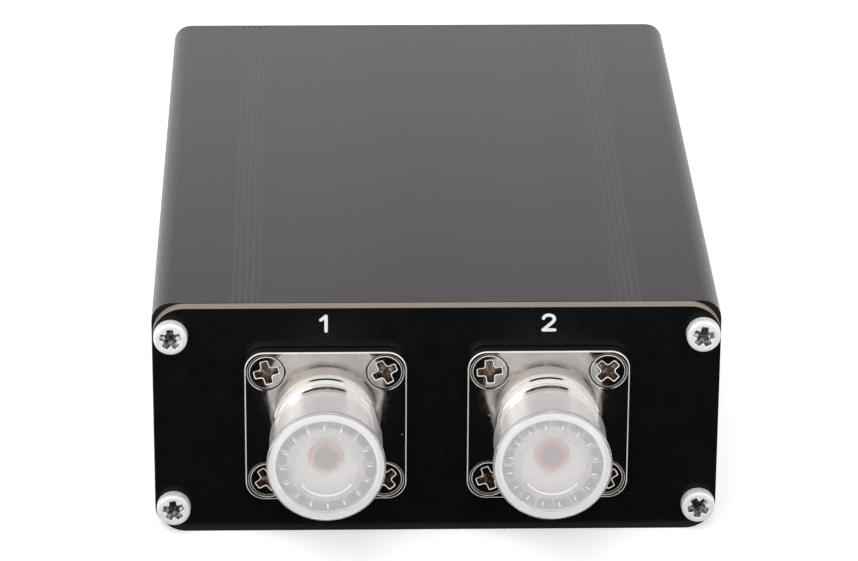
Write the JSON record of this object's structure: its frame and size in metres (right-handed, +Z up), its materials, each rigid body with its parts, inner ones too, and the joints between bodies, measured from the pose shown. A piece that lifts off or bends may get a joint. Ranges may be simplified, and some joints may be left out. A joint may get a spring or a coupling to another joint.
{
  "type": "antenna tuner",
  "caption": "Automatic antenna tuner in a flat split aluminium case, with capped coaxial sockets on one end panel and a display, push buttons, rocker switch and charging port on the other.",
  "frame": {"origin": "centre of the case's flat underside, midway between its two ends", "axes": "+Z up; -Y is the end with the coaxial sockets and +Y the end with the controls; +X is to the right when the sockets are looked at"},
  "size_m": [0.088, 0.1499, 0.038],
  "materials": {
    "case_anodised": "black anodised, satin",
    "panel_black": "black solder mask on glass fibre board, pale cut edge",
    "nickel": "bright nickel plate",
    "zinc": "bright zinc plate",
    "insulator_white": "white fluoropolymer",
    "contact_brass": "turned, bright",
    "cap_milky": "soft translucent polyethylene",
    "board_green": "green solder mask",
    "relay_blue": "moulded",
    "copper": "enamelled copper wire",
    "core_red": "coated iron powder core",
    "ferrite": "bare ferrite",
    "black_plastic": "moulded, fine texture",
    "can_sleeve": "shrink sleeve",
    "battery_foil": "laminated foil pouch",
    "display_glass": "dark glass",
    "steel": "tinned"
  },
  "bodies": {
    "case": {"upper_shell": "case_anodised", "lower_shell": "case_anodised", "connector_panel": "panel_black", "control_panel": "panel_black", "left_socket_shell": "nickel", "right_socket_shell": "nickel", "left_flange_screw_1": "nickel", "left_flange_screw_2": "nickel", "left_flange_screw_3": "nickel", "left_flange_screw_4": "nickel", "right_flange_screw_1": "nickel", "right_flange_screw_2": "nickel", "right_flange_screw_3": "nickel", "right_flange_screw_4": "nickel", "left_flange_nut_1": "nickel", "left_flange_nut_2": "nickel", "left_flange_nut_3": "nickel", "left_flange_nut_4": "nickel", "right_flange_nut_1": "nickel", "right_flange_nut_2": "nickel", "right_flange_nut_3": "nickel", "right_flange_nut_4": "nickel", "connector_panel_screw_1": "zinc", "connector_panel_screw_2": "zinc", "connector_panel_screw_3": "zinc", "connector_panel_screw_4": "zinc", "control_panel_screw_1": "zinc", "control_panel_screw_2": "zinc", "control_panel_screw_3": "zinc", "control_panel_screw_4": "zinc", "left_socket_insulator": "insulator_white", "right_socket_insulator": "insulator_white", "left_socket_contact": "contact_brass", "right_socket_contact": "contact_brass", "main_board": "board_green", "control_board": "board_green", "capacitor_relay_bank": "relay_blue", "inductor_relay_bank": "relay_blue", "side_relay": "relay_blue", "first_air_coil": "copper", "second_air_coil": "copper", "first_toroid": "core_red", "second_toroid": "core_red", "coupler_core": "ferrite", "microcontroller": "black_plastic", "voltage_regulator": "black_plastic", "button_switch_1": "black_plastic", "button_switch_2": "black_plastic", "button_switch_3": "black_plastic", "rocker_switch_body": "black_plastic", "filter_capacitor": "can_sleeve", "battery": "battery_foil", "display_module": "display_glass", "charging_port": "steel"},
    "left_dust_cap": {"left_dust_cap": "cap_milky"},
    "right_dust_cap": {"right_dust_cap": "cap_milky"},
    "button_1": {"button_1": "black_plastic"},
    "button_2": {"button_2": "black_plastic"},
    "button_3": {"button_3": "black_plastic"},
    "rocker": {"rocker": "black_plastic"}
  },
  "joints": [
    {"name": "left_cap_pull", "type": "slide", "parent": "case", "child": "left_dust_cap", "axis": [0, -1, 0], "range_m": [0, 0.012]},
    {"name": "right_cap_pull", "type": "slide", "parent": "case", "child": "right_dust_cap", "axis": [0, -1, 0], "range_m": [0, 0.012]},
    {"name": "button_1_press", "type": "slide", "parent": "case", "child": "button_1", "axis": [0, -1, 0], "range_m": [0, 0.00025], "stiffness_N_per_m": 4000},
    {"name": "button_2_press", "type": "slide", "parent": "case", "child": "button_2", "axis": [0, -1, 0], "range_m": [0, 0.00025], "stiffness_N_per_m": 4000},
    {"name": "button_3_press", "type": "slide", "parent": "case", "child": "button_3", "axis": [0, -1, 0], "range_m": [0, 0.00025], "stiffness_N_per_m": 4000},
    {"name": "rocker_tilt", "type": "hinge", "parent": "case", "child": "rocker", "pos_m": [0.024, 0.06434, 0.00885], "axis": [0, 0, 1], "range_deg": [0, 20]}
  ]
}
